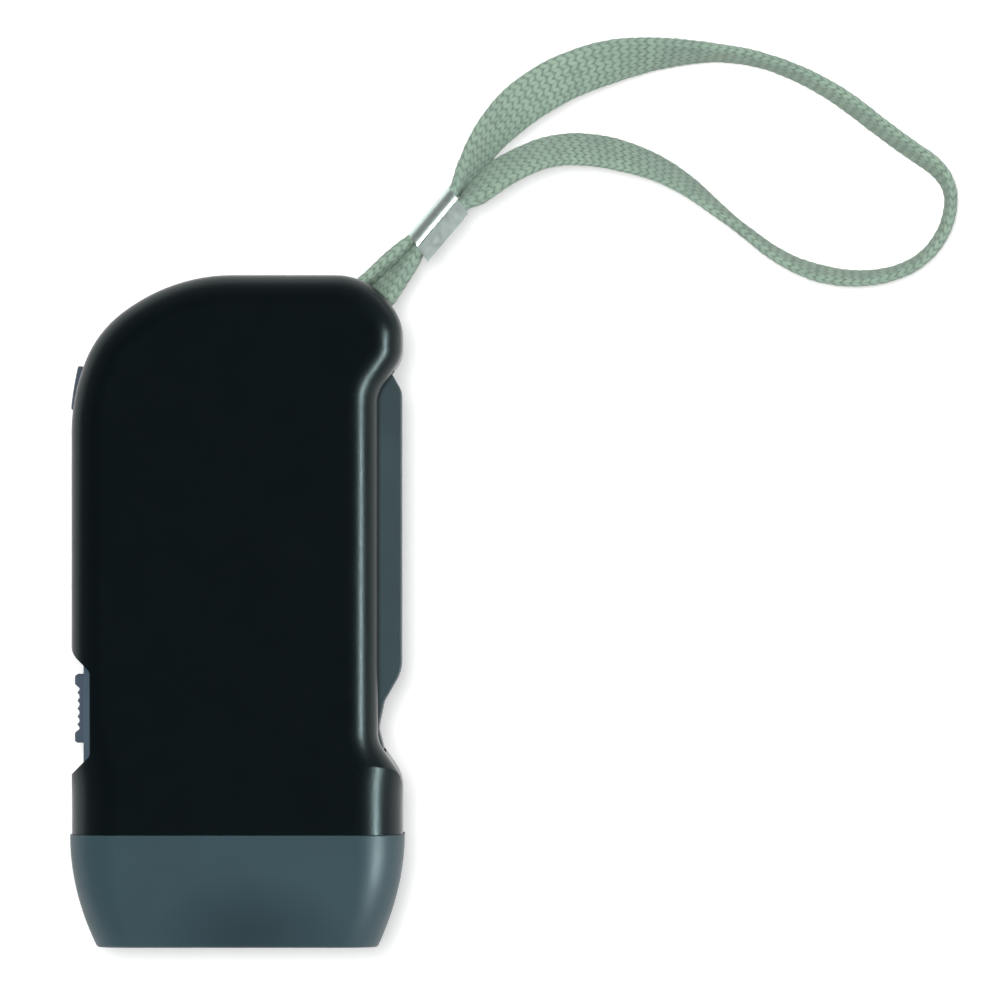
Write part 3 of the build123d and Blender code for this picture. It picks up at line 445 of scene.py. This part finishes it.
# ---------------------------------------------------------------- the two shells
# Upper and lower half of the body, injection-moulded in black ABS with a fine satin grain. They
# meet at a line along the middle and are held by four screws from below.
def moulded(name, colour, roughness, grain=0.3, scale=2200.0, wear_and_painted_highlight=0.0, edge=0.3 * MM,
            specular=0.35, shade=0.12, tint=(1.0, 1.0, 1.0, 1.0)):
    """Moulded plastic: cloudy tone, grain in its relief and roughness, softened edges that are
    paler, partly as wear and partly as a painted highlight.
    """
    finish, tree, shader = new_finish(name, Specular_IOR_Level=specular, Specular_Tint=tint)
    place = put(tree, "TexCoord").outputs["Object"]
    base = np.array(linear(*colour))
    clouds = noise(tree, place, 55.0, 2.0)
    tone = blend_of(tree, spread(tree, clouds, 0.3, 0.7, 0.0, 1.0),
                    (*(base[:3] * (1 - shade)), 1), (*(base[:3] * (1 + shade)), 1))
    edge_normal = put(tree, "Bevel", {"samples": 6}, Radius=edge).outputs[0]
    flat_normal = put(tree, "NewGeometry").outputs["Normal"]
    turn = put(tree, "VectorMath", {"operation": "DOT_PRODUCT"}, _0=edge_normal, _1=flat_normal)
    # Painted highlight, partly wear: the colour goes paler where the rounded edge normal turns from
    # the flat one.
    edge_wear_and_painted_highlight = spread(tree, turn.outputs["Value"], 0.97, 0.8, 0.0, wear_and_painted_highlight)
    tone = blend_of(tree, edge_wear_and_painted_highlight, tone, (*np.minimum(base[:3] * 2.4 + 0.02, 1), 1))
    tree.links.new(tone, shader.inputs["Base Color"])
    grains = noise(tree, place, scale, 2.0)
    rubbing_and_painted_shade = noise(tree, place, 180.0, 4.0)
    rough = spread(tree, rubbing_and_painted_shade, 0.3, 0.7, roughness - 0.03, roughness + 0.03)
    tree.links.new(rough, shader.inputs["Roughness"])
    bump = put(tree, "Bump", Strength=grain, Distance=0.00003, Height=grains, Normal=edge_normal)
    tree.links.new(bump.outputs[0], shader.inputs["Normal"])
    return finish


black_satin = moulded("black_satin_shell", (5, 12, 16), 0.31, grain=0.45, scale=2000.0, wear_and_painted_highlight=0.1,
                      specular=0.3, shade=0.03, tint=(0.72, 0.98, 1.0, 1.0))
dress(black_satin, "shell_bottom", "shell_top")

# ---------------------------------------------------------------- lamp bezel
# Slate polypropylene cup, smoother than the shells, pressed into their front. Its top is painted
# darker towards the lens, a painted shade in place of the dark reflection there.
bezel_finish = moulded("slate_bezel", (56, 78, 86), 0.46, grain=0.15, scale=1400.0, wear_and_painted_highlight=0.35,
                       specular=0.5, shade=0.06, tint=(0.8, 1.0, 1.0, 1.0))
tree = bezel_finish.node_tree
shader = tree.nodes["Principled BSDF"]
place = put(tree, "TexCoord").outputs["Object"]
# Painted shade: a soft darker patch mixed into the cup's colour on its top towards the lens.
painted_shade_place = put(tree, "Mapping", {"vector_type": "TEXTURE"}, Vector=place,
           Location=(0.002, -0.051, 0.035), Scale=(0.016, 0.0105, 0.014)).outputs[0]
painted_shade_reach = put(tree, "VectorMath", {"operation": "LENGTH"}, _0=painted_shade_place).outputs["Value"]
rubbing_and_painted_shade = spread(tree, painted_shade_reach, 0.1, 1.0, 0.75, 0.0)
tone = blend_of(tree, rubbing_and_painted_shade, shader.inputs["Base Color"].links[0].from_socket, linear(31, 48, 58))
tree.links.new(tone, shader.inputs["Base Color"])
dress(bezel_finish, "bezel")

# ---------------------------------------------------------------- squeeze lever
# The grip that the hand pumps, moulded in slate ABS. It turns on a steel pin towards the lens. Its
# edges are paler, partly from the hand's polish and partly as a painted highlight along them.
dress(moulded("slate_lever", (66, 83, 88), 0.38, grain=0.2, wear_and_painted_highlight=0.6, edge=0.5 * MM),
      "squeeze_lever")

# ---------------------------------------------------------------- knobs and thumb inlay
# Two ribbed slides moulded in a bluer slate, each with a shank through its slot in the shells, and
# the grey inlay in the thumb notch. Distances are in mm.
knob_height = 10.0
knob_rounding = 0.45
mid_z = 18.0


def slide_knob(name, along, face, back, shank):
    """Knob raised from its plan: face is its outer X at each Y of along, and back its inner X.

    Towards each end of its height the plan draws in to its middle on a quarter round. The shank is
    a bar with a square section along X, between the two corners given.
    """
    middle = (along[0] + along[-1]) / 2
    inner = np.full(len(along), back)
    plan = np.concatenate([np.stack([face, along], axis=1), np.stack([inner, along[::-1]], axis=1)])
    turn = np.linspace(0, np.pi / 2, 6)
    draw = knob_rounding * np.r_[1 - np.sin(turn), 1 - np.sin(turn[::-1])]
    level = knob_rounding * (1 - np.cos(turn))
    level = np.r_[level, knob_height - level[::-1]]
    thick, long = np.abs(face - back).max(), abs(along[-1] - along[0]) / 2
    x = back + (plan[None, :, 0] - back) * (1 - draw[:, None] / thick)
    y = middle + (plan[None, :, 1] - middle) * (1 - draw[:, None] / long)
    z = np.repeat((mid_z - knob_height / 2 + level)[:, None], len(plan), axis=1)
    knob = skin(name, np.stack([x, y, z], axis=-1)[:, ::-1] * MM, caps="ladder")
    (x0, y0, z0), (x1, y1, z1) = shank
    bar = np.array([[(x0, y0, z0), (x0, y0, z1), (x0, y1, z1), (x0, y1, z0)],
                    [(x1, y0, z0), (x1, y0, z1), (x1, y1, z1), (x1, y1, z0)]])
    stem = skin(name + "_stem", bar * MM)
    for piece in (knob, stem):
        piece.data.polygons.foreach_set("use_smooth", np.zeros(len(piece.data.polygons), bool))
    with bpy.context.temp_override(active_object=knob, selected_editable_objects=[knob, stem]):
        bpy.ops.object.join()
    return knob


knob_finish = moulded("blue_slate_knob", (86, 98, 112), 0.4, grain=0.2, wear_and_painted_highlight=0.4, edge=0.15 * MM)
# Power knob: two end lobes and five sharp ribs between them.
power_y, power_back = -15.25, -23.8
power_half = 5.37
power_floor = 1.0
lobe_start, lobe_rise, lobe_height = 3.1, 0.8, 0.72
lobe_round_start, lobe_round = 4.95, 2.2
power_rib_pitch, power_rib_height = 1.25, 0.36
power_shank = ((-24.2, -17.05, 16.0), (-20.7, -13.45, 20.0))
along = np.linspace(power_half, -power_half, 181)
reach = np.abs(along)
rise = np.clip((reach - lobe_start) / lobe_rise, 0, 1)
lobe = lobe_height * rise * rise * (3 - 2 * rise)
lobe -= lobe_round * np.clip(reach - lobe_round_start, 0, 1) ** 2
rib = 1 - np.abs(np.sin(np.pi * along / power_rib_pitch))
rib = power_rib_height * rib * (reach < lobe_start)
power_knob = slide_knob("power_knob_ribbed", power_y + along,
                        power_back - power_floor - lobe - rib, power_back, power_shank)
# Lock knob: a sloping pad towards the tail and four ribs towards the lens.
lock_back, lock_floor = -24.45, -25.46
lock_tail, lock_front = 38.35, 25.2
pad_start, pad_end = 31.7, 31.15
pad_crest, pad_lowest = -26.08, -25.0
pad_length, pad_fall, pad_power = 6.65, 1.05, 1.4
lip_length, lip_fall, lip_power = 0.5, 1.8, 1.5
lock_rib_place, lock_rib_pitch, lock_rib_height = 30.1, 1.42, 0.38
lock_shank = ((-24.65, 29.95, 21.2), (-23.3, 33.55, 23.7))
along = np.linspace(lock_tail, lock_front, 221)
pad = pad_crest + pad_fall * (np.clip(along - pad_start, 0, None) / pad_length) ** pad_power
pad += lip_fall * np.clip(pad_start - along, 0, lip_length) ** lip_power
rib = 1 - np.abs(np.sin(np.pi * (along - lock_rib_place) / lock_rib_pitch))
rib = lock_floor - lock_rib_height * rib
lock_face = np.where(along > pad_end, np.minimum(pad, pad_lowest), rib)
lock_knob = slide_knob("lock_knob_ribbed", along, lock_face, lock_back, lock_shank)
for knob, node, body in ((power_knob, "power_knob", "power_slide"),
                         (lock_knob, "lock_knob", "lock_slide")):
    knob.data.materials.append(knob_finish)
    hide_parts(node)
    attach(knob, body)
dress(moulded("slate_inlay", (84, 102, 116), 0.45, grain=0.2, wear_and_painted_highlight=0.2), "thumb_inlay")

# ---------------------------------------------------------------- lens, gasket and reflector
# Clear acrylic window pressed onto a black rubber ring in the bezel's mouth, over a pair of
# moulded cups that are vacuum-plated as one piece.
window, tree, shader = new_finish("clear_acrylic", Base_Color=(0.97, 0.99, 1.0, 1.0), IOR=1.49,
                                  Transmission_Weight=1.0, Specular_IOR_Level=0.5)
place = put(tree, "TexCoord").outputs["Object"]
smears = noise(tree, place, 90.0, 5.0)
tree.links.new(spread(tree, smears, 0.45, 0.8, 0.02, 0.12), shader.inputs["Roughness"])
dress(window, "lens")
dress(moulded("black_rubber", (30, 31, 32), 0.75, grain=0.5, scale=900.0), "lens_gasket")
dress(metal("plated_cups", (232, 234, 238), 0.07, 0.03, scale=500.0, depth=0.000004), "reflector")

# ---------------------------------------------------------------- lamps and their board
# Two 5 mm lamps of clear cast resin behind the cups, soldered to a green board that carries three
# chip resistors.
resin, tree, shader = new_finish("clear_resin", IOR=1.53, Transmission_Weight=0.75,
                                 Specular_IOR_Level=0.5)
place = put(tree, "TexCoord").outputs["Object"]
haze = noise(tree, place, 700.0)
tree.links.new(blend_of(tree, haze, (0.93, 0.95, 0.92, 1), (0.98, 0.97, 0.86, 1)),
               shader.inputs["Base Color"])
tree.links.new(spread(tree, haze, 0.3, 0.7, 0.05, 0.14), shader.inputs["Roughness"])
dress(resin, "leds")
dress(moulded("green_board", (24, 92, 52), 0.3, grain=0.6, scale=600.0, shade=0.2, specular=0.5),
      "led_board")
dress(moulded("chip_ceramic", (28, 28, 30), 0.35, specular=0.5), "resistors")

# ---------------------------------------------------------------- lever return spring
# Torsion spring wound from 0.9 mm spring wire round the lever pin: one leg lies against the shell,
# the other pushes behind the grip.
wire_radius = 0.45 * MM
coil_turns = 6.25
coil_gap = 0.2 * MM
foot_length, leg_length = 8.0 * MM, 20.0 * MM
coil_points = 190


def wound_wire(path, radius, sides=12):
    """Round wire along a path that is never upright: a circle across the path at each point."""
    ahead = np.gradient(path, axis=0)
    ahead /= np.linalg.norm(ahead, axis=1)[:, None]
    side = np.cross((0.0, 0.0, 1.0), ahead)
    side /= np.linalg.norm(side, axis=1)[:, None]
    rise = np.cross(ahead, side)
    turn = -np.linspace(0, 2 * np.pi, sides, endpoint=False)[None, :, None]
    return path[:, None] + radius * (np.cos(turn) * side[:, None] + np.sin(turn) * rise[:, None])


spring_low, spring_high = (np.array(corner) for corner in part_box("return_spring"))
pin_low, pin_high = (np.array(corner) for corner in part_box("lever_pin"))
pin = (pin_low + pin_high) / 2
coil_radius = (pin_high - pin_low)[0] / 2 + coil_gap + wire_radius
turn = np.linspace(-0.5 * np.pi, (2 * coil_turns - 0.5) * np.pi, coil_points)
climb = np.linspace(spring_low[2] + wire_radius, spring_high[2] - wire_radius, coil_points)
coil = np.stack([pin[0] + coil_radius * np.cos(turn), pin[1] + coil_radius * np.sin(turn), climb],
                axis=1)
foot_end = (pin[0] - foot_length, coil[0, 1], climb[0])
leg_end = (coil[-1, 0], pin[1] + leg_length, climb[-1])
foot = np.linspace(foot_end, coil[0], 8, endpoint=False)
leg = np.linspace(leg_end, coil[-1], 16, endpoint=False)[::-1]
spring = skin("return_spring_wound", wound_wire(np.concatenate([foot, coil, leg]), wire_radius))
spring.data.materials.append(metal("spring_steel", (150, 154, 160), 0.3, 0.06))
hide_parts("return_spring")
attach(spring, "root")

# ---------------------------------------------------------------- gear train
# White nylon sector screwed to the lever, two double gears and the rotor's pinion. They turn on
# steel pins between two pressed plates that spacers and screws hold apart.
nylon = moulded("natural_nylon", (226, 222, 208), 0.4, grain=0.15, shade=0.04, specular=0.5)
dress(nylon, "sector_gear", "first_gear", "second_gear", "rotor_pinion")
pressed = metal("zinc_plate", (178, 180, 182), 0.34, 0.1, (1.0, 0.08, 1.0))
dress(pressed, "lower_gear_plate", "upper_gear_plate")
turned = metal("bright_steel", (196, 198, 200), 0.22, 0.06, (0.1, 0.1, 1.0))
dress(turned, "gear_axles", "gearbox_screws", "sector_screws", "shell_screws", "lever_pin",
      "plate_spacers", "rotor_shaft", "rotor_wheel")
dress(metal("turned_brass", (206, 170, 96), 0.28, 0.08, (0.1, 0.1, 1.0)), "rotor_bushes")

# ---------------------------------------------------------------- dynamo
# Ring of varnished copper wire wound on a nylon bobbin, between two clawed cups of pressed steel,
# round a ferrite magnet on the rotor's shaft.
dress(metal("tinned_pole_steel", (150, 152, 154), 0.38, 0.1), "lower_pole_cup", "upper_pole_cup")
dress(moulded("grey_ferrite", (44, 44, 47), 0.6, grain=0.8, scale=1200.0), "rotor_magnet")
dress(moulded("bobbin_nylon", (214, 206, 186), 0.45, shade=0.05), "winding_bobbin")
dress(metal("enamelled_copper", (176, 92, 48), 0.25, 0.06, (0.2, 0.2, 3.0), 0.0001, 900.0),
      "stator_winding")

# ---------------------------------------------------------------- lock bar, switch and cell
# Black moulded lock bar and slide switch with tinned pins, and a rechargeable coin cell in its
# tray, held down by a spring strip.
dress(moulded("black_fitting", (26, 27, 29), 0.5), "lock_bar", "switch_body", "switch_slider")
dress(moulded("tray_nylon", (52, 54, 58), 0.5), "cell_holder")
dress(metal("tinned_pins", (190, 192, 190), 0.3, 0.05), "switch_pins", "cell_spring")
dress(metal("nickel_can", (188, 190, 192), 0.2, 0.05, scale=3000.0), "coin_cell")
